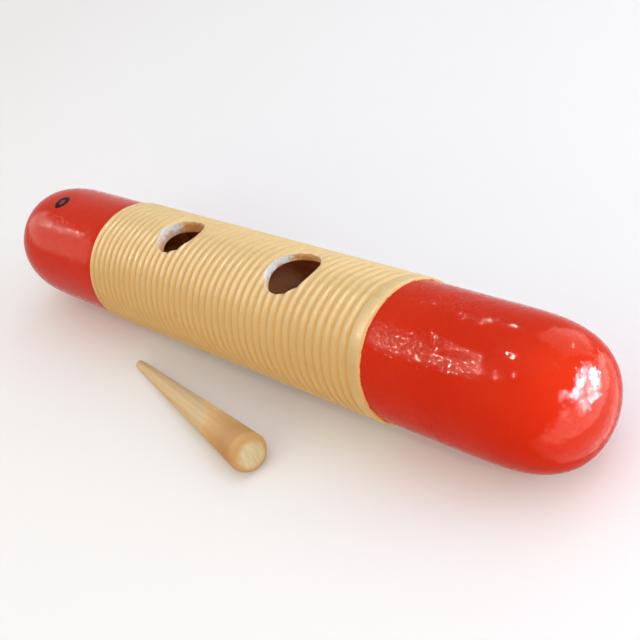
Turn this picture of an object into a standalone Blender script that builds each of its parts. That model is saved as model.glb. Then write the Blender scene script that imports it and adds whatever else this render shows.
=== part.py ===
"""Wooden guiro with its scraper.

A ribbed hardwood barrel is bored through and has two finger holes. A turned, hollow cap is glued
into each end of it. The scraper is a tapered stick that lies on the table beside the barrel.

X runs along the barrel from the head cap to the tail cap, and the finger holes look up, along +Z.
The origin is on the table, under the middle of the barrel.
"""

import math

import bmesh
import bpy
from mathutils import Vector

MM = 0.001

# Barrel
BARREL_LENGTH = 205.0 * MM
CREST_RADIUS = 32.0 * MM
HEAD_WALL = 6.8 * MM
TAIL_WALL = 4.4 * MM
BORE_STEP_X = -26.0 * MM
BORE_STEP_TAPER = 4.0 * MM
BARREL_EDGE_ROUND = 1.2 * MM

# Ribs, turned all the way round the barrel
RIB_PITCH = 4.93 * MM
RIB_SPREAD = 0.045
RIB_DEPTH = 1.2 * MM
GROOVE_MOUTH = 3.0 * MM
HEAD_BAND = 4.1 * MM
TAIL_BAND = 8.1 * MM

# Finger holes, drilled by hand: each stands a little to one side of the top line
HEAD_HOLE_DIAMETER = 24.7 * MM
HEAD_HOLE_X = -44.4 * MM
HEAD_HOLE_Y = 0.9 * MM
TAIL_HOLE_DIAMETER = 26.5 * MM
TAIL_HOLE_X = 42.5 * MM
TAIL_HOLE_Y = -0.9 * MM

# End caps. The crown is a ball's cap that takes over where the dome leans this much
CAP_LENGTH = 92.5 * MM
CAP_STEP = 1.1 * MM
CAP_EDGE_ROUND = 0.6 * MM
DOME_LENGTH = 46.6 * MM
DOME_POWER = 3.25
CROWN_LEAN = math.radians(33.5)
CAP_END_WALL = 9.0 * MM
SPIGOT_LENGTH = 16.0 * MM
SPIGOT_WALL = 5.0 * MM
SPIGOT_LEAD = 1.0 * MM

# Scraper
SCRAPER_LENGTH = 127.3 * MM
SCRAPER_TIP_RADIUS = 2.24 * MM
SCRAPER_BUTT_RADIUS = 9.34 * MM
SCRAPER_BUTT_ROUND = 3.8 * MM
SCRAPER_TIP_X = -76.1 * MM
SCRAPER_TIP_Y = -40.7 * MM
SCRAPER_TURN = math.radians(-10.4)

# Clearances left for glue and paint
SPIGOT_CLEARANCE = 0.3 * MM
SHOULDER_GAP = 0.3 * MM

# How finely curves are drawn
BARREL_SIDES = 36
HOLE_SIDES = 32
SCRAPER_SIDES = 24
ROUND_STEPS = 3
OUTER_DOME_STEPS = 9
INNER_DOME_STEPS = 5
CROWN_STEPS = 4
MERGE_DISTANCE = 0.001 * MM
SHARP_ANGLE = math.radians(28.0)

# A flat, not a corner, of each many-sided piece looks down, so it rests on flats
BARREL_FLAT = math.cos(math.pi / BARREL_SIDES)
SCRAPER_FLAT = math.cos(math.pi / SCRAPER_SIDES)
AXIS_HEIGHT = CREST_RADIUS * BARREL_FLAT

# The bore leaves these walls, measured from the rib crests
HEAD_BORE_RADIUS = CREST_RADIUS - HEAD_WALL
TAIL_BORE_RADIUS = CREST_RADIUS - TAIL_WALL


def clear_scene():
    for thing in list(bpy.data.objects):
        bpy.data.objects.remove(thing, do_unlink=True)


def finish(name, colour, roughness):
    """A Principled material with one colour and no metal in it."""
    material = bpy.data.materials.new(name)
    material.use_nodes = True
    shader = material.node_tree.nodes["Principled BSDF"]
    shader.inputs["Base Color"].default_value = (*colour, 1.0)
    shader.inputs["Roughness"].default_value = roughness
    shader.inputs["Metallic"].default_value = 0.0
    material.diffuse_color = (*colour, 1.0)
    return material


def rounded_corner(centre_x, centre_r, radius, start, end, steps=ROUND_STEPS):
    """Points of an arc in the (x, r) plane, with angles counted from +x towards +r."""
    points = []
    for i in range(steps + 1):
        angle = start + (end - start) * i / steps
        points.append((centre_x + radius * math.cos(angle), centre_r + radius * math.sin(angle)))
    return points


def turned(name, outline, sides, material, closed=False):
    """Turn an outline of (x, r) points round the X axis, with a flat looking down."""
    start = math.pi / sides
    mesh = bpy.data.meshes.new(name)
    shape = bmesh.new()
    verts = [shape.verts.new((x, r * math.sin(start), -r * math.cos(start))) for x, r in outline]
    edges = [shape.edges.new(pair) for pair in zip(verts, verts[1:])]
    if closed:
        edges.append(shape.edges.new((verts[-1], verts[0])))
    bmesh.ops.spin(
        shape,
        geom=verts + edges,
        cent=(0.0, 0.0, 0.0),
        axis=(1.0, 0.0, 0.0),
        angle=2.0 * math.pi,
        steps=sides,
        use_merge=True,
    )
    bmesh.ops.remove_doubles(shape, verts=shape.verts, dist=MERGE_DISTANCE)
    bmesh.ops.recalc_face_normals(shape, faces=shape.faces)
    shape.to_mesh(mesh)
    shape.free()
    mesh.shade_smooth()
    mesh.set_sharp_from_angle(angle=SHARP_ANGLE)
    mesh.materials.append(material)
    piece = bpy.data.objects.new(name, mesh)
    bpy.context.scene.collection.objects.link(piece)
    return piece


def groove_middles():
    """Places of the grooves along X. They lie a little closer together near the head."""
    first = -BARREL_LENGTH / 2 + HEAD_BAND
    span = BARREL_LENGTH - HEAD_BAND - TAIL_BAND
    ribs = max(1, round(span / RIB_PITCH))
    places = []
    for i in range(ribs + 1):
        share = i / ribs
        places.append(first + span * (share + RIB_SPREAD * share * (share - 1.0)))
    return places


def barrel_outline():
    """Closed outline: head end, ribs, tail end, then back along the stepped bore."""
    end = BARREL_LENGTH / 2
    edge = BARREL_EDGE_ROUND
    root = CREST_RADIUS - RIB_DEPTH
    outline = [(-end, HEAD_BORE_RADIUS)]
    outline += rounded_corner(-end + edge, CREST_RADIUS - edge, edge, math.pi, math.pi / 2)
    for middle in groove_middles():
        outline.append((middle - GROOVE_MOUTH / 2, CREST_RADIUS))
        outline.append((middle, root))
        outline.append((middle + GROOVE_MOUTH / 2, CREST_RADIUS))
    outline += rounded_corner(end - edge, CREST_RADIUS - edge, edge, math.pi / 2, 0.0)
    outline.append((end, TAIL_BORE_RADIUS))
    outline.append((BORE_STEP_X + BORE_STEP_TAPER, TAIL_BORE_RADIUS))
    outline.append((BORE_STEP_X, HEAD_BORE_RADIUS))
    return outline


def finger_hole_cutter(name, x, y, diameter):
    """A drill from inside the bore out through the top of the barrel."""
    bottom = 0.0
    top = CREST_RADIUS * 1.2
    cutter_mesh = bpy.data.meshes.new(name)
    shape = bmesh.new()
    bmesh.ops.create_cone(
        shape,
        cap_ends=True,
        segments=HOLE_SIDES,
        radius1=diameter / 2,
        radius2=diameter / 2,
        depth=top - bottom,
    )
    shape.to_mesh(cutter_mesh)
    shape.free()
    cutter = bpy.data.objects.new(name, cutter_mesh)
    bpy.context.scene.collection.objects.link(cutter)
    cutter.location = Vector((x, y, (top + bottom) / 2))
    cutter.hide_render = True
    cutter.display_type = "WIRE"
    return cutter


def make_barrel(parent, material):
    barrel = turned("ribbed_barrel", barrel_outline(), BARREL_SIDES, material, closed=True)
    barrel.parent = parent
    holes = (
        ("head", HEAD_HOLE_X, HEAD_HOLE_Y, HEAD_HOLE_DIAMETER),
        ("tail", TAIL_HOLE_X, TAIL_HOLE_Y, TAIL_HOLE_DIAMETER),
    )
    for name, x, y, diameter in holes:
        cutter = finger_hole_cutter("drill_" + name, x, y, diameter)
        cutter.parent = parent
        cut = barrel.modifiers.new("finger_hole_" + name, "BOOLEAN")
        cut.operation = "DIFFERENCE"
        cut.solver = "EXACT"
        cut.object = cutter
    return barrel


def dome(start, length, radius, steps):
    """Closed end of a cap: a blunt superellipse from the wall, then a round crown to the axis.

    length is where the superellipse alone would end. The crown ends a little beyond it.
    """
    share = (math.tan(CROWN_LEAN) * radius / length) ** (1.0 / (DOME_POWER - 1.0))
    last = math.atan(share ** (-DOME_POWER / 2.0))
    points = []
    for i in range(steps + 1):
        angle = last * i / steps
        x = start + length * math.sin(angle) ** (2.0 / DOME_POWER)
        r = radius * math.cos(angle) ** (2.0 / DOME_POWER)
        points.append((x, r))
    crown = points[-1][1] / math.sin(CROWN_LEAN)
    centre = points[-1][0] - crown * math.cos(CROWN_LEAN)
    points += rounded_corner(centre, 0.0, crown, CROWN_LEAN, 0.0, CROWN_STEPS)[1:]
    points[-1] = (centre + crown, 0.0)
    return points


def cap_outline(bore_radius):
    """Outline of a hollow cap. x is 0 at the barrel's end and grows towards the dome."""
    spigot = bore_radius - SPIGOT_CLEARANCE
    cavity = spigot - SPIGOT_WALL
    radius = CREST_RADIUS - CAP_STEP
    edge = CAP_EDGE_ROUND
    dome_start = CAP_LENGTH - DOME_LENGTH
    inner_dome = DOME_LENGTH - CAP_END_WALL
    outline = dome(dome_start, inner_dome, cavity, INNER_DOME_STEPS)[::-1]
    outline.append((-SPIGOT_LENGTH, cavity))
    outline.append((-SPIGOT_LENGTH, spigot - SPIGOT_LEAD))
    outline.append((-SPIGOT_LENGTH + SPIGOT_LEAD, spigot))
    outline.append((SHOULDER_GAP, spigot))
    outline += rounded_corner(SHOULDER_GAP + edge, radius - edge, edge, math.pi, math.pi / 2)
    outline += dome(dome_start, DOME_LENGTH, radius, OUTER_DOME_STEPS)
    return outline


def make_cap(name, side, bore_radius, parent, material):
    """side is -1 at the head end and +1 at the tail end."""
    outline = [(side * (BARREL_LENGTH / 2 + x), r) for x, r in cap_outline(bore_radius)]
    cap = turned(name, outline, BARREL_SIDES, material)
    cap.parent = parent
    return cap


def scraper_outline():
    """Round tip, straight taper, rounded edge and flat butt. x is 0 at the very tip."""
    tip = SCRAPER_TIP_RADIUS
    butt = SCRAPER_BUTT_RADIUS
    edge = SCRAPER_BUTT_ROUND
    outline = rounded_corner(tip, 0.0, tip, math.pi, math.pi / 2)
    outline[0] = (0.0, 0.0)
    outline += rounded_corner(SCRAPER_LENGTH - edge, butt - edge, edge, math.pi / 2, 0.0)
    outline.append((SCRAPER_LENGTH, 0.0))
    return outline


def make_scraper(material):
    """The scraper lies on one of its flats, so its axis rises towards the butt."""
    scraper = turned("scraper_stick", scraper_outline(), SCRAPER_SIDES, material)
    rise = SCRAPER_FLAT * (SCRAPER_BUTT_RADIUS - SCRAPER_TIP_RADIUS)
    run = SCRAPER_LENGTH - SCRAPER_BUTT_ROUND - SCRAPER_TIP_RADIUS
    tilt = math.atan2(rise, run)
    flat_drop = SCRAPER_TIP_RADIUS * SCRAPER_FLAT * math.cos(tilt)
    height = flat_drop - SCRAPER_TIP_RADIUS * math.sin(tilt)
    scraper.rotation_euler = (0.0, -tilt, SCRAPER_TURN)
    scraper.location = Vector((SCRAPER_TIP_X, SCRAPER_TIP_Y, height))
    return scraper


def build():
    clear_scene()
    bare_wood = finish("lacquered_light_wood", (0.72, 0.50, 0.26), 0.45)
    enamel = finish("red_enamel", (0.60, 0.03, 0.01), 0.15)
    stick_wood = finish("stick_wood", (0.66, 0.44, 0.20), 0.5)

    guiro = bpy.data.objects.new("guiro_axis", None)
    bpy.context.scene.collection.objects.link(guiro)
    guiro.location = Vector((0.0, 0.0, AXIS_HEIGHT))

    make_barrel(guiro, bare_wood)
    make_cap("head_cap", -1, HEAD_BORE_RADIUS, guiro, enamel)
    make_cap("tail_cap", 1, TAIL_BORE_RADIUS, guiro, enamel)
    make_scraper(stick_wood)


build()
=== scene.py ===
"""Looks of the wooden guiro and its scraper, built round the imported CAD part."""

import math

import bmesh
import bpy
from mathutils import Euler, Matrix, Quaternion, Vector


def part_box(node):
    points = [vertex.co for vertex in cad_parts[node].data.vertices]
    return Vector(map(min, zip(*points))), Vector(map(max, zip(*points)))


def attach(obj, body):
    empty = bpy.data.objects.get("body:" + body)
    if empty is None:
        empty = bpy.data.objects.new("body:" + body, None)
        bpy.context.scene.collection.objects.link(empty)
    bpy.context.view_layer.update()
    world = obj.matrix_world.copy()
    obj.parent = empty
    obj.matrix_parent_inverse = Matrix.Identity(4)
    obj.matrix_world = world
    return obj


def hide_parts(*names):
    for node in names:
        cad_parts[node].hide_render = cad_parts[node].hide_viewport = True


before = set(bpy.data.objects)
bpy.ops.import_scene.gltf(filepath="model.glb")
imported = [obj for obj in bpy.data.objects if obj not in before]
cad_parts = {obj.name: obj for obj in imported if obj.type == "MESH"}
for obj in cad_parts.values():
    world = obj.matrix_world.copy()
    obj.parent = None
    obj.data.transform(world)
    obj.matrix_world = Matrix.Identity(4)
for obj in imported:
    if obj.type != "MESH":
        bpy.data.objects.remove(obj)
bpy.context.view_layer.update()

MM = 0.001

# The CAD draws round things with flats, and its boxes are measured over the flats
BARREL_FLAT = math.cos(math.pi / 36)
STICK_FLAT = math.cos(math.pi / 24)

# Barrel, in mm
CREST_RADIUS = 32.0 * BARREL_FLAT
HEAD_BORE = 25.2 * BARREL_FLAT
TAIL_BORE = 27.6 * BARREL_FLAT
BORE_STEP_X = -26.0
BORE_STEP_TAPER = 4.0
BARREL_EDGE = 1.2
RIB_PITCH = 4.93
RIB_SPREAD = 0.045
RIB_DEPTH = 1.2
RIB_POWER = 2.4
BAND_SHOULDER = 2.1
HEAD_BAND = 4.1
TAIL_BAND = 8.1

# Finger holes: x, y and diameter, and the sanded round of their rims, in mm
HEAD_HOLE = (-44.4, 0.9, 24.7)
TAIL_HOLE = (42.5, -0.9, 26.5)
RIM_WIDTH = 0.55
RIM_DEPTH = 1.5

# Caps, in mm
CAP_LENGTH = 92.5
CAP_RADIUS = 30.9 * BARREL_FLAT
CAP_EDGE = 0.3
DOME_LENGTH = 46.6
DOME_POWER = 3.25
CROWN_LEAN = math.radians(33.5)
CAP_END_WALL = 9.0
SPIGOT_LENGTH = 16.0
SPIGOT_WALL = 5.0
SPIGOT_LEAD = 1.0
CLEARANCE = 0.3
GLUE_LINE = 0.03

# Painted eye on the head cap, in mm
EYE_X = -155.5
EYE_Y = -0.8
EYE_RADIUS = 4.8
EYE_PUPIL = 1.7

# Scraper, in mm
STICK_LENGTH = 127.3
STICK_TIP = 2.24
STICK_BUTT = 9.34
STICK_BUTT_ROUND = 3.8
STICK_PLACE = (-76.1, -40.7)
STICK_TURN = math.radians(-10.4)

# How finely curves are drawn
BARREL_SIDES = 176
CAP_SIDES = 192
HOLE_SIDES = 96
STICK_SIDES = 96

# Camera, fitted to the photograph's outline and ribs, in metres
CAMERA_PLACE = Vector((0.43733, -0.22241, 0.33720))
CAMERA_AIM = Vector((0.04247, 0.00054, 0.03188))
CAMERA_ROLL = math.radians(-26.35)
CAMERA_LENS = 68.52

# Strength of the white that surrounds the part
WHITE = 0.93

barrel_low, barrel_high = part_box("ribbed_barrel")
AXIS_HEIGHT = (barrel_low.z + barrel_high.z) / 2
AXIS = Vector((0.0, 0.0, AXIS_HEIGHT))


def linear(hex_colour):
    """An sRGB hex colour as linear red, green, blue and alpha."""
    shares = [int(hex_colour[i:i + 2], 16) / 255 for i in (1, 3, 5)]
    return (*[c / 12.92 if c < 0.04045 else ((c + 0.055) / 1.055) ** 2.4 for c in shares], 1.0)


# Mesh making

def arc(centre_x, centre_r, radius, start, end, steps):
    """Points of an arc in the (x, r) plane, angles in degrees from +x towards +r."""
    points = []
    for i in range(steps + 1):
        angle = math.radians(start + (end - start) * i / steps)
        points.append((centre_x + radius * math.cos(angle), centre_r + radius * math.sin(angle)))
    return points


def turned(name, outline, sides, closed=False):
    """A lathe form: an outline of (x, r) points in mm, turned round the X axis."""
    mesh = bpy.data.meshes.new(name)
    form = bmesh.new()
    rings = []
    for x, r in outline:
        if r < 1e-6:
            rings.append([form.verts.new((x * MM, 0.0, 0.0))])
            continue
        ring = []
        for i in range(sides):
            turn = 2.0 * math.pi * (i + 0.5) / sides
            ring.append(form.verts.new((x * MM, r * MM * math.cos(turn), r * MM * math.sin(turn))))
        rings.append(ring)
    pairs = list(zip(rings, rings[1:]))
    if closed:
        pairs.append((rings[-1], rings[0]))
    for near, far in pairs:
        for i in range(sides):
            j = (i + 1) % sides
            corners = [near[i % len(near)], near[j % len(near)], far[j % len(far)], far[i % len(far)]]
            face = list(dict.fromkeys(corners))
            if len(face) > 2:
                form.faces.new(face)
    bmesh.ops.recalc_face_normals(form, faces=form.faces)
    form.to_mesh(mesh)
    form.free()
    piece = bpy.data.objects.new(name, mesh)
    bpy.context.scene.collection.objects.link(piece)
    return piece


def smooth(piece, angle=32.0):
    piece.data.shade_smooth()
    piece.data.set_sharp_from_angle(angle=math.radians(angle))


def groove_middles():
    """Places of the grooves along X, as in the CAD: a little closer together near the head."""
    length = (barrel_high.x - barrel_low.x) / MM
    first = barrel_low.x / MM + HEAD_BAND
    span = length - HEAD_BAND - TAIL_BAND
    ribs = round(span / RIB_PITCH)
    places = []
    for i in range(ribs + 1):
        share = i / ribs
        places.append(first + span * (share + RIB_SPREAD * share * (share - 1.0)))
    return places


def rib_drop(share):
    """How far the surface lies under the crest. share is 0 on the crest and 1 in the groove."""
    return RIB_DEPTH * abs(share) ** RIB_POWER


def barrel_outline():
    """Head end, rounded ribs with narrow grooves, tail end, then back along the stepped bore."""
    low, high = barrel_low.x / MM, barrel_high.x / MM
    outline = [(low, HEAD_BORE)]
    outline += arc(low + BARREL_EDGE, CREST_RADIUS - BARREL_EDGE, BARREL_EDGE, 180, 90, 5)
    middles = groove_middles()
    for share in (0.2, 0.45, 0.7, 0.88):
        x = middles[0] - BAND_SHOULDER * (1.0 - share)
        outline.append((x, CREST_RADIUS - rib_drop(share)))
    for start, end in zip(middles, middles[1:]):
        middle, half = (start + end) / 2, (end - start) / 2
        for share in (-0.97, -0.86, -0.7, -0.5, -0.25, 0.0, 0.25, 0.5, 0.7, 0.86, 0.97):
            outline.append((middle + half * share, CREST_RADIUS - rib_drop(share)))
    for share in (0.88, 0.7, 0.45, 0.2):
        x = middles[-1] + BAND_SHOULDER * (1.0 - share)
        outline.append((x, CREST_RADIUS - rib_drop(share)))
    outline += arc(high - BARREL_EDGE, CREST_RADIUS - BARREL_EDGE, BARREL_EDGE, 90, 0, 5)
    outline.append((high, TAIL_BORE))
    outline.append((BORE_STEP_X + BORE_STEP_TAPER, TAIL_BORE))
    outline.append((BORE_STEP_X, HEAD_BORE))
    return outline


def rim_flare(depth):
    """How far a finger hole's rim is sanded back, at a depth in mm under the rib crests."""
    return RIM_WIDTH * max(1.0 - depth / RIM_DEPTH, 0.0) ** 2


def crest_sag(y):
    """How far the rib crests at y, in mm, lie under the top line of the barrel."""
    return CREST_RADIUS - math.sqrt(CREST_RADIUS ** 2 - y ** 2)


def drill(hole):
    """Cutter for one finger hole, whose flared rim follows the curve of the barrel."""
    x, y, diameter = hole
    outline = [(0.0, 0.0), (0.0, diameter / 2)]
    for depth in (1.5, 1.1, 0.75, 0.45, 0.2, 0.0, -0.8):
        outline.append((CREST_RADIUS - depth, diameter / 2 + rim_flare(depth)))
    outline += [(CREST_RADIUS + 6.0, diameter / 2 + rim_flare(-0.8)), (CREST_RADIUS + 6.0, 0.0)]
    cutter = turned("drill", outline, HOLE_SIDES)
    cutter.data.transform(Matrix.Rotation(-math.pi / 2, 4, "Y"))
    for vert in cutter.data.vertices:
        if vert.co.z > 5.0 * MM:
            vert.co.z -= crest_sag(vert.co.y / MM + y) * MM
    cutter.data.transform(Matrix.Translation((x * MM, y * MM, 0.0)))
    return cutter


def wear_far_rims(barrel):
    """Wears the ribs down where they meet the finger holes' rims on the +Y side."""
    root = CREST_RADIUS - RIB_DEPTH
    for vert in barrel.data.vertices:
        place = vert.co / MM
        height = math.hypot(place.y, place.z) - root
        if place.z < 0.0 or height < 0.0:
            continue
        for x, y, diameter in (HEAD_HOLE, TAIL_HOLE):
            gap = math.hypot(place.x - x, place.y - y) - diameter / 2
            near = min(max(1.0 - gap / 2.6, 0.0), 1.0)
            side = min(max(0.3 + (place.y - y) / 8.0, 0.0), 1.0)
            worn = 0.65 * height * side * near * near * (3.0 - 2.0 * near)
            share = 1.0 - worn / (height + root)
            vert.co.y *= share
            vert.co.z *= share


def in_hole_wall(mesh, face, hole):
    """Whether a face of the barrel was cut by that hole's drill."""
    x, y, diameter = hole
    for index in face.vertices:
        corner = mesh.vertices[index].co / MM
        depth = CREST_RADIUS - crest_sag(corner.y) - (corner.z - AXIS_HEIGHT / MM)
        wall = diameter / 2 + rim_flare(depth)
        if corner.z < AXIS_HEIGHT / MM or abs(math.hypot(corner.x - x, corner.y - y) - wall) > 0.05:
            return False
    return True


def apply_cuts(piece, cutters):
    for cutter in cutters:
        cut = piece.modifiers.new("cut", "BOOLEAN")
        cut.operation, cut.solver, cut.object = "DIFFERENCE", "EXACT", cutter
    graph = bpy.context.evaluated_depsgraph_get()
    mesh = bpy.data.meshes.new_from_object(piece.evaluated_get(graph))
    piece.modifiers.clear()
    piece.data = mesh
    for cutter in cutters:
        bpy.data.objects.remove(cutter, do_unlink=True)


def make_barrel(materials):
    """materials are those of the outside, of the finger holes' walls and of the bore."""
    barrel = turned("barrel_turned", barrel_outline(), BARREL_SIDES, closed=True)
    wear_far_rims(barrel)
    apply_cuts(barrel, [drill(HEAD_HOLE), drill(TAIL_HOLE)])
    barrel.data.transform(Matrix.Translation(AXIS))
    barrel.data.materials.clear()
    for material in materials:
        barrel.data.materials.append(material)
    smooth(barrel, 40.0)
    root = (CREST_RADIUS - RIB_DEPTH - 0.1) * MM
    for face in barrel.data.polygons:
        if in_hole_wall(barrel.data, face, HEAD_HOLE) or in_hole_wall(barrel.data, face, TAIL_HOLE):
            face.material_index = 1
        elif math.hypot(face.center.y, face.center.z - AXIS_HEIGHT) < root:
            face.material_index = 2
    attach(barrel, "guiro")
    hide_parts("ribbed_barrel")
    return barrel


def dome(start, length, radius, steps):
    """Closed end of a cap: a blunt superellipse from the wall, then a round crown to the axis."""
    share = (math.tan(CROWN_LEAN) * radius / length) ** (1.0 / (DOME_POWER - 1.0))
    last = math.atan(share ** (-DOME_POWER / 2.0))
    points = []
    for i in range(steps + 1):
        angle = last * i / steps
        x = start + length * math.sin(angle) ** (2.0 / DOME_POWER)
        points.append((x, radius * math.cos(angle) ** (2.0 / DOME_POWER)))
    crown = points[-1][1] / math.sin(CROWN_LEAN)
    centre = points[-1][0] - crown * math.cos(CROWN_LEAN)
    points += arc(centre, 0.0, crown, math.degrees(CROWN_LEAN), 0.0, steps // 2)[1:-1]
    points.append((centre + crown, 0.0))
    return points


def cap_outline(bore):
    """A hollow cap with a spigot. x is 0 at the barrel's end and grows towards the dome."""
    spigot = bore - CLEARANCE
    cavity = spigot - SPIGOT_WALL
    dome_start = CAP_LENGTH - DOME_LENGTH
    outline = dome(dome_start, DOME_LENGTH - CAP_END_WALL, cavity, 12)[::-1]
    outline += [(-SPIGOT_LENGTH, cavity), (-SPIGOT_LENGTH, spigot - SPIGOT_LEAD)]
    outline += [(-SPIGOT_LENGTH + SPIGOT_LEAD, spigot), (GLUE_LINE, spigot)]
    outline += arc(GLUE_LINE + CAP_EDGE, CAP_RADIUS - CAP_EDGE, CAP_EDGE, 180, 90, 4)
    straight = dome_start - GLUE_LINE - CAP_EDGE
    for i in range(1, 8):
        outline.append((GLUE_LINE + CAP_EDGE + straight * i / 8, CAP_RADIUS))
    outline += dome(dome_start, DOME_LENGTH, CAP_RADIUS, 36)
    return outline


def make_cap(name, node, side, bore, materials):
    """side is -1 at the head end and +1 at the tail end. materials are the outside's and the hollow's."""
    barrel_end = barrel_high.x / MM
    outline = [(side * (barrel_end + x), r) for x, r in cap_outline(bore)]
    cap = turned(name, outline, CAP_SIDES)
    cap.data.transform(Matrix.Translation(AXIS))
    smooth(cap)
    for material in materials:
        cap.data.materials.append(material)
    for face in cap.data.polygons:
        face.material_index = 0 if is_outer(face, side) else 1
    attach(cap, "guiro")
    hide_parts(node)
    return cap


def is_outer(face, side):
    """Whether a face of a cap looks away from the cap's middle, so it's painted."""
    middle = AXIS + Vector((side * 0.14, 0.0, 0.0))
    past_end = abs(face.center.x) > barrel_high.x + GLUE_LINE * MM
    return past_end and face.normal.dot(face.center - middle) > 0.0


def stick_outline():
    """Round tip, straight taper, rounded edge and flat butt. x is 0 at the very tip."""
    tip, butt, edge = STICK_TIP * STICK_FLAT, STICK_BUTT * STICK_FLAT, STICK_BUTT_ROUND
    outline = [(x, r) for x, r in arc(STICK_TIP, 0.0, tip, 180, 90, 10)]
    outline[0] = (STICK_TIP - tip, 0.0)
    start, end = outline[-1], (STICK_LENGTH - edge, butt)
    for i in range(1, 12):
        share = i / 12
        outline.append((start[0] + (end[0] - start[0]) * share, start[1] + (end[1] - start[1]) * share))
    outline += arc(STICK_LENGTH - edge, butt - edge, edge, 90, 0, 10)
    outline += [(STICK_LENGTH, (butt - edge) * share) for share in (0.8, 0.5, 0.2)]
    outline.append((STICK_LENGTH, 0.0))
    return outline


def stick_lie():
    """How the scraper lies on the table: its place and its tilt, as a matrix from its own frame."""
    rise = STICK_FLAT * (STICK_BUTT - STICK_TIP)
    tilt = math.atan2(rise, STICK_LENGTH - STICK_BUTT_ROUND - STICK_TIP)
    height = STICK_TIP * (STICK_FLAT * math.cos(tilt) - math.sin(tilt))
    place = Vector((STICK_PLACE[0], STICK_PLACE[1], height)) * MM
    return Matrix.Translation(place) @ Euler((0.0, -tilt, STICK_TURN)).to_matrix().to_4x4()


def make_stick(material):
    stick = turned("scraper_turned", stick_outline(), STICK_SIDES)
    smooth(stick, 40.0)
    stick.data.materials.append(material)
    stick.data.transform(stick_lie())
    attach(stick, "scraper")
    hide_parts("scraper_stick")
    return stick


# Materials

def start_material(name):
    """A new material's node tree and its Principled shader."""
    material = bpy.data.materials.new(name)
    material.use_nodes = True
    return material, material.node_tree, material.node_tree.nodes["Principled BSDF"]


def fill(node, values):
    """Gives inputs of a node, by name or number, a value, a socket or another node's output."""
    for key, value in values.items():
        if isinstance(value, bpy.types.Node):
            value = next(socket for socket in value.outputs if socket.enabled)
        if isinstance(value, bpy.types.NodeSocket):
            node.id_data.links.new(value, node.inputs[key])
        else:
            node.inputs[key].default_value = value


def add(tree, kind, values=None, **settings):
    """Adds a node with its settings, then its values and links as fill gives them."""
    made = tree.nodes.new(kind)
    for name, value in settings.items():
        setattr(made, name, value)
    fill(made, values or {})
    return made


def clouds(tree, place, size, low=0.3, high=0.7, detail=3.0):
    """Soft clouds, 0 between them and 1 in them. size is their length in mm along x, y and z."""
    scale = [1.0 / (length * MM) for length in size]
    placed = add(tree, "ShaderNodeMapping", {0: place, 3: scale})
    drift = add(tree, "ShaderNodeTexNoise", {0: placed, 2: 1.0, 3: detail, 4: 0.55})
    return add(tree, "ShaderNodeMapRange", {0: drift, 1: low, 2: high}, interpolation_type="SMOOTHSTEP")


def growth_rings(tree, place, pith, ring_mm):
    """Growth rings round a pith line along X: 0 in the early wood, rising to 1 in the late wood."""
    moved = add(tree, "ShaderNodeVectorMath", {0: place, 1: pith}, operation="SUBTRACT")
    flat = add(tree, "ShaderNodeVectorMath", {0: moved, 1: (0.02, 1.0, 1.0)}, operation="MULTIPLY")
    far = add(tree, "ShaderNodeVectorMath", {0: flat}, operation="LENGTH")
    count = add(tree, "ShaderNodeMath", {0: far, 1: ring_mm * MM}, operation="DIVIDE")
    bend = clouds(tree, place, (240.0, 60.0, 60.0), 0.0, 1.0, 2.0)
    wavy = add(tree, "ShaderNodeMath", {0: bend, 1: 3.0, 2: count}, operation="MULTIPLY_ADD")
    saw = add(tree, "ShaderNodeMath", {0: wavy}, operation="FRACT")
    late = add(tree, "ShaderNodeMapRange", {0: saw, 1: 0.3, 2: 0.9}, interpolation_type="SMOOTHSTEP")
    early = add(tree, "ShaderNodeMapRange", {0: saw, 1: 0.9, 2: 1.0, 3: 1.0, 4: 0.0})
    return add(tree, "ShaderNodeMath", {0: late, 1: early}, operation="MULTIPLY")


def facets(tree, place, size_mm, even, rare, normal):
    """A normal broken up into small flat facets, as a brushed skin dries. They lean by up to
    even of the normal's length, and a few of them by up to rare more."""
    placed = add(tree, "ShaderNodeMapping", {0: place, 3: [1.0 / (size_mm * MM)] * 3})
    cells = add(tree, "ShaderNodeTexVoronoi", {"Vector": placed, "Scale": 1.0})
    lean = {0: cells.outputs["Color"], 1: (2.0, 2.0, 2.0), 2: (-1.0, -1.0, -1.0)}
    lean = add(tree, "ShaderNodeVectorMath", lean, operation="MULTIPLY_ADD")
    square = add(tree, "ShaderNodeVectorMath", {0: lean, 1: lean}, operation="MULTIPLY")
    cube = add(tree, "ShaderNodeVectorMath", {0: square, 1: lean}, operation="MULTIPLY")
    cube = add(tree, "ShaderNodeVectorMath", {0: cube, 3: rare}, operation="SCALE")
    lean = add(tree, "ShaderNodeVectorMath", {0: lean, 3: even}, operation="SCALE")
    tilted = add(tree, "ShaderNodeVectorMath", {0: normal, 1: cube}, operation="ADD")
    tilted = add(tree, "ShaderNodeVectorMath", {0: tilted, 1: lean}, operation="ADD")
    return add(tree, "ShaderNodeVectorMath", {0: tilted}, operation="NORMALIZE")


def under_crest(tree, place):
    """Depth in metres under the rib crests."""
    moved = add(tree, "ShaderNodeVectorMath", {0: place, 1: AXIS}, operation="SUBTRACT")
    flat = add(tree, "ShaderNodeVectorMath", {0: moved, 1: (0.0, 1.0, 1.0)}, operation="MULTIPLY")
    far = add(tree, "ShaderNodeVectorMath", {0: flat}, operation="LENGTH")
    return add(tree, "ShaderNodeMath", {0: CREST_RADIUS * MM, 1: far}, operation="SUBTRACT")


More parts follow.
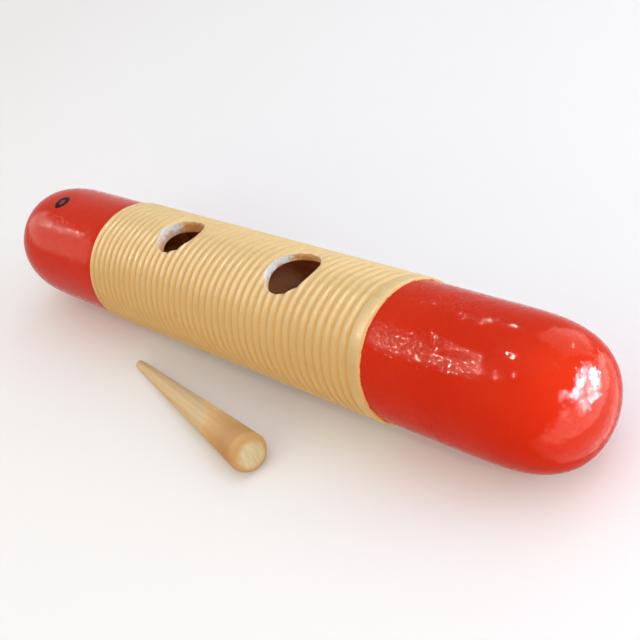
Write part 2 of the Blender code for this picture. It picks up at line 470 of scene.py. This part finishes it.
def about_hole(tree, place):
    """The level offset from the nearer finger hole's axis, and the distance outside its wall."""
    head, tail = Vector((*HEAD_HOLE[:2], 0.0)) * MM, Vector((*TAIL_HOLE[:2], 0.0)) * MM
    parts = add(tree, "ShaderNodeSeparateXYZ", {0: place})
    at_tail = add(tree, "ShaderNodeMath", {0: parts.outputs[0], 1: 0.0}, operation="GREATER_THAN")
    centre = add(tree, "ShaderNodeMix", {0: at_tail, 4: head, 5: tail}, data_type="VECTOR")
    radius = add(tree, "ShaderNodeMix", {0: at_tail, 2: HEAD_HOLE[2] / 2 * MM, 3: TAIL_HOLE[2] / 2 * MM})
    moved = add(tree, "ShaderNodeVectorMath", {0: place, 1: centre}, operation="SUBTRACT")
    offset = add(tree, "ShaderNodeVectorMath", {0: moved, 1: (1.0, 1.0, 0.0)}, operation="MULTIPLY")
    far = add(tree, "ShaderNodeVectorMath", {0: offset}, operation="LENGTH")
    return offset, add(tree, "ShaderNodeMath", {0: far, 1: radius}, operation="SUBTRACT")


def turned_wood_colour(tree, place):
    """Creamy wood with faint rings, fibres and patches, and a tan tint in the grooves: partly lacquer that pooled
    there, partly painted light that warms the grooves and lifts them against their shade.
    """
    rings = growth_rings(tree, place, (0.0, 0.075, -0.03), 4.5)
    fibres = clouds(tree, place, (26.0, 0.55, 0.55), 0.35, 0.7, 4.0)
    patches = clouds(tree, place, (70.0, 34.0, 34.0), 0.35, 0.7, 2.0)
    ring_share = add(tree, "ShaderNodeMath", {0: rings, 1: 0.30}, operation="MULTIPLY")
    fibre_share = add(tree, "ShaderNodeMath", {0: fibres, 1: 0.22}, operation="MULTIPLY")
    patch_share = add(tree, "ShaderNodeMath", {0: patches, 1: 0.35}, operation="MULTIPLY")
    cream = {0: ring_share, 6: linear("#DCC68E"), 7: linear("#D2B678")}
    cream = add(tree, "ShaderNodeMix", cream, data_type="RGBA")
    cream = add(tree, "ShaderNodeMix", {0: fibre_share, 6: cream, 7: linear("#CEA664")}, data_type="RGBA")
    cream = add(tree, "ShaderNodeMix", {0: patch_share, 6: cream, 7: linear("#E0CC94")}, data_type="RGBA")
    # Tan deeper in the grooves: partly pooled lacquer, partly painted light, redder and a little lighter than the
    # crests to offset the grooves' shade.
    depth = under_crest(tree, place)
    groove = {0: depth, 1: 0.02 * MM, 2: 0.75 * RIB_DEPTH * MM}
    groove = add(tree, "ShaderNodeMapRange", groove, interpolation_type="SMOOTHSTEP")
    uneven = clouds(tree, place, (9.0, 9.0, 9.0), 0.2, 0.7)
    uneven = add(tree, "ShaderNodeMapRange", {0: uneven, 1: 0.0, 2: 1.0, 3: 0.65, 4: 1.0})
    lacquer_pool_and_painted_bounce = add(tree, "ShaderNodeMath", {0: groove, 1: uneven}, operation="MULTIPLY")
    return add(tree, "ShaderNodeMix", {0: lacquer_pool_and_painted_bounce, 6: cream, 7: linear("#E8C680")}, data_type="RGBA")


def window_lit_end_grain_share(tree, place, offset):
    """1 on the wall of a finger hole that faces the tail and crosses the fibres, where the window light falling on
    that wall is painted in as a cool white, 0 elsewhere.
    """
    level = add(tree, "ShaderNodeSeparateXYZ", {0: offset})
    ragged = clouds(tree, place, (2.4, 1.6, 1.6), 0.2, 0.8, 4.0)
    headward = add(tree, "ShaderNodeMath", {0: ragged, 1: 4.5 * MM, 2: level.outputs[0]}, operation="MULTIPLY_ADD")
    return add(tree, "ShaderNodeMapRange", {0: headward, 1: -5.5 * MM, 2: -9.5 * MM}, interpolation_type="SMOOTHSTEP")


def lacquered_hardwood():
    """Pale hardwood, turned across the grain, sanded and given a thin satin lacquer. The eye
    sees creamy ribs with faint long fibres, tan in the grooves from pooled lacquer and painted
    light that lifts them against their shade, and paler sanded wood at the finger holes' rims."""
    material, tree, shader = start_material("lacquered_turned_hardwood")
    place = add(tree, "ShaderNodeTexCoord").outputs["Object"]
    wood = turned_wood_colour(tree, place)
    offset, outside = about_hole(tree, place)
    height = add(tree, "ShaderNodeSeparateXYZ", {0: place}).outputs[2]
    on_top = add(tree, "ShaderNodeMath", {0: height, 1: AXIS_HEIGHT}, operation="GREATER_THAN")
    near_rim = {0: outside, 1: 0.6 * MM, 2: 2.6 * MM, 3: 0.8, 4: 0.0}
    near_rim = add(tree, "ShaderNodeMapRange", near_rim, interpolation_type="SMOOTHSTEP")
    sanded = add(tree, "ShaderNodeMath", {0: near_rim, 1: on_top}, operation="MULTIPLY")
    wood = add(tree, "ShaderNodeMix", {0: sanded, 6: wood, 7: linear("#DEC898")}, data_type="RGBA")
    along = add(tree, "ShaderNodeSeparateXYZ", {0: place}).outputs[0]
    blot = clouds(tree, place, (3.0, 3.0, 3.0), 0.0, 1.0, 2.0)
    blotted = add(tree, "ShaderNodeMath", {0: blot, 1: 0.5 * MM, 2: along}, operation="MULTIPLY_ADD")
    edge = barrel_high.x + 0.22 * MM
    painted = add(tree, "ShaderNodeMapRange", {0: blotted, 1: edge, 2: edge + 0.12 * MM})
    wood = add(tree, "ShaderNodeMix", {0: painted, 6: wood, 7: linear("#C52B12")}, data_type="RGBA")
    streaks = clouds(tree, place, (7.0, 1.4, 1.4))
    roughness = add(tree, "ShaderNodeMapRange", {0: streaks, 1: 0.0, 2: 1.0, 3: 0.36, 4: 0.50})
    pores = clouds(tree, place, (5.0, 0.35, 0.35), 0.2, 0.8)
    waves = clouds(tree, place, (2.6, 2.6, 2.6), 0.2, 0.8, 2.0)
    relief = add(tree, "ShaderNodeMath", {0: pores, 1: 0.4, 2: waves}, operation="MULTIPLY_ADD")
    bump = add(tree, "ShaderNodeBump", {"Strength": 0.35, "Distance": 0.10 * MM, "Height": relief})
    fill(shader, {"Base Color": wood, "Roughness": roughness, "IOR": 1.5, "Specular IOR Level": 0.12,
                  "Diffuse Roughness": 0.8})
    skin = facets(tree, place, 0.7, 0.04, 0.04, bump)
    fill(shader, {"Normal": bump, "Coat Weight": 0.07, "Coat Roughness": 0.08, "Coat Normal": skin})
    return material


def drilled_hardwood():
    """Raw hardwood, drilled, with a rim rounded by sandpaper. The eye sees a furry end grain on the wall
    that faces the tail, painted a cool white for the window light on it and fading deeper in, and brown side grain on
    the rest."""
    material, tree, shader = start_material("drilled_raw_hardwood")
    place = add(tree, "ShaderNodeTexCoord").outputs["Object"]
    offset, outside = about_hole(tree, place)
    depth = under_crest(tree, place)
    window_lit_end_grain = window_lit_end_grain_share(tree, place, offset)
    fuzz = clouds(tree, place, (0.7, 0.7, 2.0), 0.3, 0.75, 4.0)
    side = add(tree, "ShaderNodeMix", {0: fuzz, 6: linear("#D0904C"), 7: linear("#DEA45E")}, data_type="RGBA")
    # Partly end grain, partly painted light: the cool white stands for the window light on the wall that faces the
    # tail.
    end = add(tree, "ShaderNodeMix", {0: fuzz, 6: linear("#E0E8EC"), 7: linear("#D4D2CC")}, data_type="RGBA")
    torn = clouds(tree, place, (3.0, 3.0, 3.0), 0.3, 0.7)
    torn = add(tree, "ShaderNodeMath", {0: torn, 1: 3.0 * MM, 2: depth}, operation="MULTIPLY_ADD")
    # Painted light: the white fades deeper in the hole, where less window light reaches.
    deep = {0: torn, 1: 4.0 * MM, 2: 7.0 * MM, 3: 1.0, 4: 0.25}
    deep = add(tree, "ShaderNodeMapRange", deep, interpolation_type="SMOOTHSTEP")
    rim = {0: torn, 1: 1.2 * MM, 2: 4.6 * MM, 3: 0.8, 4: 0.0}
    rim = add(tree, "ShaderNodeMapRange", rim, interpolation_type="SMOOTHSTEP")
    side = add(tree, "ShaderNodeMix", {0: rim, 6: side, 7: linear("#EACB98")}, data_type="RGBA")
    white = add(tree, "ShaderNodeMath", {0: window_lit_end_grain, 1: deep}, operation="MULTIPLY")
    wall = add(tree, "ShaderNodeMix", {0: white, 6: side, 7: end}, data_type="RGBA")
    sanded = {0: depth, 1: 0.9 * MM, 2: 2.6 * MM, 3: 0.9, 4: 0.0}
    sanded = add(tree, "ShaderNodeMapRange", sanded, interpolation_type="SMOOTHSTEP")
    crosswise = add(tree, "ShaderNodeMath", {0: 1.0, 1: window_lit_end_grain}, operation="SUBTRACT")
    sanded = add(tree, "ShaderNodeMath", {0: sanded, 1: crosswise}, operation="MULTIPLY")
    wall = add(tree, "ShaderNodeMix", {0: sanded, 6: wall, 7: linear("#DCBE8C")}, data_type="RGBA")
    fur = clouds(tree, place, (0.5, 0.5, 1.0), 0.2, 0.8, 4.0)
    bump = add(tree, "ShaderNodeBump", {"Strength": 0.6, "Distance": 0.25 * MM, "Height": fur})
    fill(shader, {"Base Color": wall, "Roughness": 0.85, "Diffuse Roughness": 0.8, "Normal": bump})
    return material


def bored_hardwood():
    """Raw hardwood, bored out and left as the tool left it. The eye sees dull brown with faint
    rings of tool marks."""
    material, tree, shader = start_material("bored_raw_hardwood")
    place = add(tree, "ShaderNodeTexCoord").outputs["Object"]
    rings = growth_rings(tree, place, (0.0, 0.075, -0.03), 4.5)
    fibres = clouds(tree, place, (20.0, 0.7, 0.7), 0.35, 0.7, 4.0)
    ring_share = add(tree, "ShaderNodeMath", {0: rings, 1: 0.5}, operation="MULTIPLY")
    fibre_share = add(tree, "ShaderNodeMath", {0: fibres, 1: 0.4}, operation="MULTIPLY")
    brown = {0: ring_share, 6: linear("#F0B072"), 7: linear("#DE9A5A")}
    brown = add(tree, "ShaderNodeMix", brown, data_type="RGBA")
    brown = add(tree, "ShaderNodeMix", {0: fibre_share, 6: brown, 7: linear("#C8864E")}, data_type="RGBA")
    marks = clouds(tree, place, (1.1, 33.0, 33.0), 0.2, 0.8, 2.0)
    bump = add(tree, "ShaderNodeBump", {"Strength": 0.5, "Distance": 0.2 * MM, "Height": marks})
    fill(shader, {"Base Color": brown, "Roughness": 0.8, "Normal": bump})
    return material


def painted_eye(tree, place):
    """Shares of the eye's disc and of its black ring, with a slightly wavy brushed outline."""
    centre = Vector((EYE_X, EYE_Y, 0.0)) * MM
    moved = add(tree, "ShaderNodeVectorMath", {0: place, 1: centre}, operation="SUBTRACT")
    flat = add(tree, "ShaderNodeVectorMath", {0: moved, 1: (1.0, 1.0, 0.0)}, operation="MULTIPLY")
    far = add(tree, "ShaderNodeVectorMath", {0: flat}, operation="LENGTH")
    wave = clouds(tree, place, (2.2, 2.2, 2.2), 0.0, 1.0, 2.0)
    brushed = add(tree, "ShaderNodeMath", {0: wave, 1: 0.8 * MM, 2: far}, operation="MULTIPLY_ADD")
    height = add(tree, "ShaderNodeSeparateXYZ", {0: place}).outputs[2]
    on_top = add(tree, "ShaderNodeMath", {0: height, 1: AXIS_HEIGHT}, operation="GREATER_THAN")
    outer = {0: brushed, 1: (EYE_RADIUS + 0.5) * MM, 2: (EYE_RADIUS + 0.2) * MM}
    outer = add(tree, "ShaderNodeMapRange", outer, interpolation_type="SMOOTHSTEP")
    inner = {0: brushed, 1: (EYE_PUPIL + 0.1) * MM, 2: (EYE_PUPIL + 1.1) * MM}
    inner = add(tree, "ShaderNodeMapRange", inner, interpolation_type="SMOOTHSTEP")
    disc = add(tree, "ShaderNodeMath", {0: outer, 1: on_top}, operation="MULTIPLY")
    return disc, add(tree, "ShaderNodeMath", {0: disc, 1: inner}, operation="MULTIPLY")


def red_enamel():
    """Orange-red gloss enamel, brushed over turned wood. The eye sees a deep even red under a
    wet gloss whose reflections break up on a faint orange peel, and the painted eye: a black
    ring with a dark red middle."""
    material, tree, shader = start_material("brushed_red_enamel")
    place = add(tree, "ShaderNodeTexCoord").outputs["Object"]
    mottle = clouds(tree, place, (26.0, 26.0, 26.0))
    red = add(tree, "ShaderNodeMix", {0: mottle, 6: linear("#D42E12"), 7: linear("#D83416")}, data_type="RGBA")
    disc, ring = painted_eye(tree, place)
    red = add(tree, "ShaderNodeMix", {0: disc, 6: red, 7: linear("#A82A26")}, data_type="RGBA")
    red = add(tree, "ShaderNodeMix", {0: ring, 6: red, 7: linear("#0E0706")}, data_type="RGBA")
    peel = clouds(tree, place, (3.4, 3.4, 3.4), 0.2, 0.8, 2.0)
    relief = add(tree, "ShaderNodeMath", {0: ring, 1: 0.6, 2: peel}, operation="MULTIPLY_ADD")
    bump = add(tree, "ShaderNodeBump", {"Strength": 0.28, "Distance": 0.06 * MM, "Height": relief})
    along = add(tree, "ShaderNodeSeparateXYZ", {0: place}).outputs[0]
    at_tail = add(tree, "ShaderNodeMapRange", {0: along, 1: 0.0, 2: 1.0 * MM, 3: 0.010, 4: 0.055})
    uneven = {0: along, 1: 138.0 * MM, 2: 154.0 * MM, 3: at_tail, 4: 0.0}
    uneven = add(tree, "ShaderNodeMapRange", uneven, interpolation_type="SMOOTHSTEP")
    rare = add(tree, "ShaderNodeMapRange", {0: along, 1: 0.0, 2: 1.0 * MM, 3: 0.055, 4: 0.085})
    skin = facets(tree, place, 0.9, uneven, rare, bump)
    fill(shader, {"Base Color": red, "Roughness": 0.06, "IOR": 1.5, "Specular IOR Level": 0.03, "Normal": skin})
    return material


def stick_place(tree):
    """Places in the scraper's own frame: x from its tip along its axis."""
    lie = stick_lie()
    place = add(tree, "ShaderNodeTexCoord").outputs["Object"]
    settings = {0: place, 1: lie.to_translation(), 2: lie.to_euler()}
    return add(tree, "ShaderNodeMapping", settings, vector_type="TEXTURE")


def sawn_end_share(tree, place):
    """1 on the middle of the scraper's butt, which the saw left pale, fading to 0 round it."""
    along = add(tree, "ShaderNodeSeparateXYZ", {0: place}).outputs[0]
    flat = add(tree, "ShaderNodeVectorMath", {0: place, 1: (0.0, 1.0, 1.0)}, operation="MULTIPLY")
    far = add(tree, "ShaderNodeVectorMath", {0: flat}, operation="LENGTH")
    wave = clouds(tree, place, (1.5, 1.5, 1.5), 0.0, 1.0, 2.0)
    edge = add(tree, "ShaderNodeMath", {0: wave, 1: 1.2 * MM, 2: far}, operation="MULTIPLY_ADD")
    disc = add(tree, "ShaderNodeMapRange", {0: edge, 1: 8.7 * MM, 2: 5.0 * MM}, interpolation_type="SMOOTHSTEP")
    end_x = STICK_LENGTH * MM
    at_end = add(tree, "ShaderNodeMath", {0: along, 1: end_x - 2.0 * MM}, operation="GREATER_THAN")
    return add(tree, "ShaderNodeMath", {0: disc, 1: at_end}, operation="MULTIPLY")


def oiled_hardwood():
    """Oiled hardwood of the scraper, turned and sanded. The eye sees a paler tip half and a
    browner butt half that meet on a curved line of grain, and a whitish sawn end."""
    material, tree, shader = start_material("oiled_turned_hardwood")
    place = stick_place(tree)
    parts = add(tree, "ShaderNodeSeparateXYZ", {0: place})
    rings = growth_rings(tree, place, (0.0, 0.03, 0.012), 3.2)
    fibres = clouds(tree, place, (30.0, 0.5, 0.5), 0.35, 0.7, 4.0)
    slant = {0: parts.outputs[1], 1: 2.2, 2: parts.outputs[0]}
    slant = add(tree, "ShaderNodeMath", slant, operation="MULTIPLY_ADD")
    square = add(tree, "ShaderNodeMath", {0: parts.outputs[2], 1: parts.outputs[2]}, operation="MULTIPLY")
    slant = add(tree, "ShaderNodeMath", {0: square, 1: -270.0, 2: slant}, operation="MULTIPLY_ADD")
    drift = clouds(tree, place, (6.0, 6.0, 6.0), 0.0, 1.0)
    line = add(tree, "ShaderNodeMath", {0: drift, 1: 5.0 * MM, 2: slant}, operation="MULTIPLY_ADD")
    butt_half = add(tree, "ShaderNodeMapRange", {0: line, 1: 75.8 * MM, 2: 78.3 * MM}, interpolation_type="SMOOTHSTEP")
    toward_butt = add(tree, "ShaderNodeMapRange", {0: parts.outputs[0], 1: 88.0 * MM, 2: 114.0 * MM})
    fibre_share = add(tree, "ShaderNodeMath", {0: fibres, 1: 0.35}, operation="MULTIPLY")
    pale = {0: fibre_share, 6: linear("#DFCBA0"), 7: linear("#D4BB86")}
    pale = add(tree, "ShaderNodeMix", pale, data_type="RGBA")
    brown = {0: toward_butt, 6: linear("#ECCB90"), 7: linear("#C69C62")}
    brown = add(tree, "ShaderNodeMix", brown, data_type="RGBA")
    brown = add(tree, "ShaderNodeMix", {0: fibre_share, 6: brown, 7: linear("#C79E62")}, data_type="RGBA")
    wood = add(tree, "ShaderNodeMix", {0: butt_half, 6: pale, 7: brown}, data_type="RGBA")
    ring_share = add(tree, "ShaderNodeMath", {0: rings, 1: 0.18}, operation="MULTIPLY")
    wood = add(tree, "ShaderNodeMix", {0: ring_share, 6: wood, 7: linear("#C39560")}, data_type="RGBA")
    rubbed = {0: parts.outputs[0], 1: 120.5 * MM, 2: 125.0 * MM, 3: 0.0, 4: 0.4}
    rubbed = add(tree, "ShaderNodeMapRange", rubbed, interpolation_type="SMOOTHSTEP")
    wood = add(tree, "ShaderNodeMix", {0: rubbed, 6: wood, 7: linear("#D8B87A")}, data_type="RGBA")
    sawn = sawn_end_share(tree, place)
    streaks = clouds(tree, place, (1.1, 1.1, 8.0))
    end = add(tree, "ShaderNodeMix", {0: streaks, 6: linear("#E0DABA"), 7: linear("#D2CAA2")}, data_type="RGBA")
    wood = add(tree, "ShaderNodeMix", {0: sawn, 6: wood, 7: end}, data_type="RGBA")
    roughness = add(tree, "ShaderNodeMapRange", {0: sawn, 1: 0.0, 2: 1.0, 3: 0.6, 4: 0.8})
    pores = clouds(tree, place, (5.6, 0.35, 0.35), 0.2, 0.8)
    bump = add(tree, "ShaderNodeBump", {"Strength": 0.4, "Distance": 0.08 * MM, "Height": pores})
    fill(shader, {"Base Color": wood, "Roughness": roughness, "IOR": 1.47, "Specular IOR Level": 0.1})
    fill(shader, {"Diffuse Roughness": 0.8, "Normal": bump})
    return material


# Floor, world, lamps and camera

def background_share(tree):
    """1 for what the camera sees directly, in a mirror or through glass, and 0 for other light."""
    seen = add(tree, "ShaderNodeLightPath")
    rays = {0: seen.outputs["Is Camera Ray"], 1: seen.outputs["Is Glossy Ray"]}
    rays = add(tree, "ShaderNodeMath", rays, operation="MAXIMUM")
    rays = {0: rays, 1: seen.outputs["Is Transmission Ray"]}
    return add(tree, "ShaderNodeMath", rays, operation="MAXIMUM")


def pale_floor():
    """Matt white board that turns into the plain white of the surroundings further out. What it
    throws back on the part is the warmer light of a wooden table."""
    material, tree, shader = start_material("matt_pale_board")
    place = add(tree, "ShaderNodeTexCoord").outputs["Object"]
    away = add(tree, "ShaderNodeVectorMath", {0: place}, operation="LENGTH")
    away = add(tree, "ShaderNodeMapRange", {0: away, 1: 0.6, 2: 1.5}, interpolation_type="SMOOTHSTEP")
    board = add(tree, "ShaderNodeMix", {0: away, 6: linear("#F5F9F8"), 7: linear("#000000")}, data_type="RGBA")
    colour = {0: background_share(tree), 6: linear("#A86C38"), 7: board}
    colour = add(tree, "ShaderNodeMix", colour, data_type="RGBA")
    glow = add(tree, "ShaderNodeMapRange", {0: away, 1: 0.0, 2: 1.0, 3: 0.08, 4: WHITE})
    lift = add(tree, "ShaderNodeMath", {0: background_share(tree), 1: glow}, operation="MULTIPLY")
    fill(shader, {"Base Color": colour, "Roughness": 0.9, "Specular IOR Level": 0.1})
    fill(shader, {"Emission Color": (1.0, 1.0, 1.0, 1.0), "Emission Strength": lift})
    return material


def make_floor():
    mesh = bpy.data.meshes.new("floor")
    form = bmesh.new()
    corners = [(-4, -4), (4, -4), (4, 4), (-4, 4)]
    form.faces.new([form.verts.new((x, y, 0.0)) for x, y in corners])
    form.to_mesh(mesh)
    form.free()
    mesh.materials.append(pale_floor())
    floor = bpy.data.objects.new("floor", mesh)
    bpy.context.scene.collection.objects.link(floor)


def make_world():
    """Plain studio surroundings: white to look at, and the light of a white room with a window."""
    world = bpy.data.worlds.new("studio")
    bpy.context.scene.world = world
    world.use_nodes = True
    tree = world.node_tree
    tree.nodes.clear()
    direction = add(tree, "ShaderNodeTexCoord").outputs["Generated"]
    toward_window = {0: direction, 1: (0.709, 0.497, 0.5)}
    toward_window = add(tree, "ShaderNodeVectorMath", toward_window, operation="DOT_PRODUCT")
    level = {0: toward_window, 1: -1.0, 2: 1.0, 3: 0.47, 4: 0.70}
    level = add(tree, "ShaderNodeMapRange", level)
    room = add(tree, "ShaderNodeBackground", {0: linear("#FFF4EE"), 1: level})
    white = add(tree, "ShaderNodeBackground", {0: (1.0, 1.0, 1.0, 1.0), 1: WHITE})
    both = add(tree, "ShaderNodeMixShader", {0: background_share(tree), 1: room, 2: white})
    add(tree, "ShaderNodeOutputWorld", {0: both})


def lamp(name, place, aim, size, level, colour, seen_in, turn=0.0, spread=180.0):
    """A flat lamp whose surface is level times as bright as white. The camera doesn't see it.

    seen_in is "gloss" for a lamp that is only mirrored, or "light" for one that only lights.
    spread is the whole angle that it shines into, in degrees.
    """
    data = bpy.data.lights.new(name, "AREA")
    data.shape = "RECTANGLE"
    data.size, data.size_y = size
    half = math.radians(spread / 2)
    data.spread = 2.0 * half
    data.energy = level * math.pi * size[0] * size[1] * (1.0 - half / math.tan(half))
    data.color = linear(colour)[:3]
    light = bpy.data.objects.new(name, data)
    bpy.context.scene.collection.objects.link(light)
    light.location = place
    light.rotation_mode = "QUATERNION"
    facing = (Vector(aim) - Vector(place)).to_track_quat("-Z", "Y")
    light.rotation_quaternion = facing @ Quaternion((0.0, 0.0, 1.0), math.radians(turn))
    light.visible_camera = False
    light.visible_glossy = seen_in == "gloss"
    light.visible_diffuse = seen_in == "light"
    light.visible_transmission = False
    return light


def around(centre, azimuth, elevation, distance):
    """A place seen from centre at that azimuth, from +X towards +Y, and elevation."""
    a, e = math.radians(azimuth), math.radians(elevation)
    return centre + distance * Vector((math.cos(a) * math.cos(e), math.sin(a) * math.cos(e), math.sin(e)))


def make_soft_lamps():
    """Lamps that light the part evenly and don't show in its gloss, all wide but the small key, and a wide sky that
    shows only in its gloss.
    """
    lamp("ceiling", (0.30, 0.55, 1.35), AXIS, (1.5, 1.2), 0.85, "#B2CEFF", "light")
    lamp("sky", (0.00, 0.10, 1.60), AXIS, (1.6, 1.4), 1.3, "#F4F9FF", "gloss")
    lamp("window_light", (1.30, 0.55, 0.45), (0.15, 0.0, 0.03), (0.9, 0.7), 4.3, "#C6E0FF", "light")
    lamp("end_light", (1.50, -0.10, 0.25), (0.15, 0.0, 0.03), (0.8, 0.5), 5.0, "#FFF6E6", "light")
    lamp("front_fill", (0.25, -1.35, 0.38), AXIS, (1.6, 0.6), 1.15, "#FFE6AE", "light")
    lamp("low_light", (0.45, -0.90, 0.08), AXIS, (1.4, 0.16), 0.48, "#FFC85A", "light")
    lamp("key", around(AXIS, -17, 33, 1.5), AXIS, (0.05, 0.05), 220.0, "#FFF2D4", "light")
    lamp("side_fill", around(AXIS, -125, 25, 1.4), AXIS, (0.9, 0.5), 1.3, "#FFF2DC", "light")


def make_window():
    """Panes of a window that stands near the tail cap, and the table and wall it shines on, all
    of which show in the cap's gloss. y, z, width and height are in mm, the turn in degrees. Each
    pane shines in a narrow beam at its own spot on the dome, so that it whitens nothing else."""
    panes = (
        (71, 25, 24, 29, 48, 432),
        (92, 40, 21, 29, 48, 432),
        (28, 21, 24, 8, -28, 432),
        (51, 7, 21, 8, -24, 432),
        (63, 58, 23, 9, 9, 384),
        (33, 56, 26, 18, 31, 552),
        (10, 52, 14, 18, 30, 456),
        (-9, 69, 20, 11, 15, 324),
        (-22, 38, 26, 12, 60, 54),
        (102, 63, 26, 3, -41, 198),
        (16, 24, 31, 27, 16, 204),
        (10, 51, 31, 28, 12, 204),
        (47, 30, 28, 27, 19, 204),
        (41, 57, 28, 28, 10, 204),
        (78, 37, 24, 27, 20, 204),
        (73, 64, 24, 28, 9, 204),
    )
    for i, (y, z, width, height, turn, level) in enumerate(panes):
        place = Vector((271.0, y, z)) * MM
        spot = Vector((193.5, 0.15 * y - 8.0, 0.15 * z + 40.0)) * MM
        size = (width * MM, height * MM)
        lamp("window_pane_%d" % i, place, spot, size, level, "#FBF7FF", "gloss", turn, 24.0)
    table = Vector((0.415, 0.11, 0.003))
    lamp("bright_table", table, table + Vector((0.0, 0.0, 1.0)), (0.366, 0.46), 24.0, "#FFE8DC", "gloss")
    near = Vector((0.214, 0.04, 0.003))
    lamp("near_table", near, near + Vector((0.0, 0.0, 1.0)), (0.036, 0.30), 4.5, "#FFE8DC", "gloss")
    tail = AXIS + Vector((0.17, 0.0, 0.0))
    lamp("pale_wall", around(tail, 84, 26, 0.9), tail, (0.80, 0.88), 9.0, "#FFE4D6", "gloss")


def make_far_lamps():
    """Small far lamps of the room, each a glint on the tail cap: azimuth, elevation, size in
    degrees and brightness."""
    tail = AXIS + Vector((0.15, 0.0, 0.0))
    glints = (
        (-155, 40, 0.8, 2000), (-148, 35, 0.9, 2000), (-166, 45, 0.8, 2000), (-148, 37, 0.9, 2000),
        (-146, 38, 0.8, 2200), (-168, 47, 0.9, 2200), (-149, 42, 0.8, 2000), (-142, 36, 0.9, 2200),
        (-148, 47, 0.9, 2200), (-139, 37, 0.9, 2200), (-168, 34, 0.9, 1500), (-128, 50, 1.2, 1500),
        (-141, 47, 1.2, 1500),
        (-119, 64, 1.4, 1500), (-119, 67, 1.0, 1200), (177, 70, 3.0, 3000), (75, 29, 1.6, 2500),
        (26, 58, 1.4, 2000), (137, 34, 0.9, 600), (132, 35, 1.2, 900), (128, 39, 1.2, 900),
    )
    for i, (azimuth, elevation, degrees, level) in enumerate(glints):
        width = 2.0 * math.tan(math.radians(degrees / 2)) * 2.0
        place = around(tail, azimuth, elevation, 2.0)
        lamp("far_lamp_%d" % i, place, tail, (width, width), level, "#FFEEDD", "gloss")


def make_head_panels():
    """A pale panel of the room and three small lamps that the head cap mirrors."""
    head = AXIS + Vector((-0.14, 0.0, 0.0))
    lamp("panel", around(head, -162, 19, 0.8), head, (0.50, 0.33), 4.2, "#FFE8DA", "gloss")
    lamp("panel_edge", around(head, -172, 28, 0.8), head, (0.30, 0.06), 1.2, "#FFF4EE", "gloss")
    for i, (azimuth, elevation, level) in enumerate(((-168, 29, 900.0), (-168, 10, 500.0), (-164, 28, 400.0))):
        place = around(head, azimuth, elevation, 0.79)
        lamp("head_lamp_%d" % i, place, head, (0.012, 0.012), level, "#FFEEDD", "gloss")


def make_camera():
    data = bpy.data.cameras.new("camera")
    data.lens = CAMERA_LENS
    data.sensor_width = 36.0
    data.clip_start, data.clip_end = 0.01, 50.0
    camera = bpy.data.objects.new("camera", data)
    bpy.context.scene.collection.objects.link(camera)
    camera.location = CAMERA_PLACE
    camera.rotation_mode = "QUATERNION"
    straight = (CAMERA_AIM - CAMERA_PLACE).to_track_quat("-Z", "Y")
    camera.rotation_quaternion = straight @ Quaternion((0.0, 0.0, 1.0), CAMERA_ROLL)
    bpy.context.scene.camera = camera


def build():
    bored, enamel = bored_hardwood(), red_enamel()
    make_barrel([lacquered_hardwood(), drilled_hardwood(), bored])
    make_cap("head_cap_turned", "head_cap", -1, HEAD_BORE, [enamel, bored])
    make_cap("tail_cap_turned", "tail_cap", 1, TAIL_BORE, [enamel, bored])
    make_stick(oiled_hardwood())
    make_floor()
    make_world()
    make_soft_lamps()
    make_window()
    make_far_lamps()
    make_head_panels()
    make_camera()
    bpy.context.scene.view_settings.view_transform = "Standard"


build()
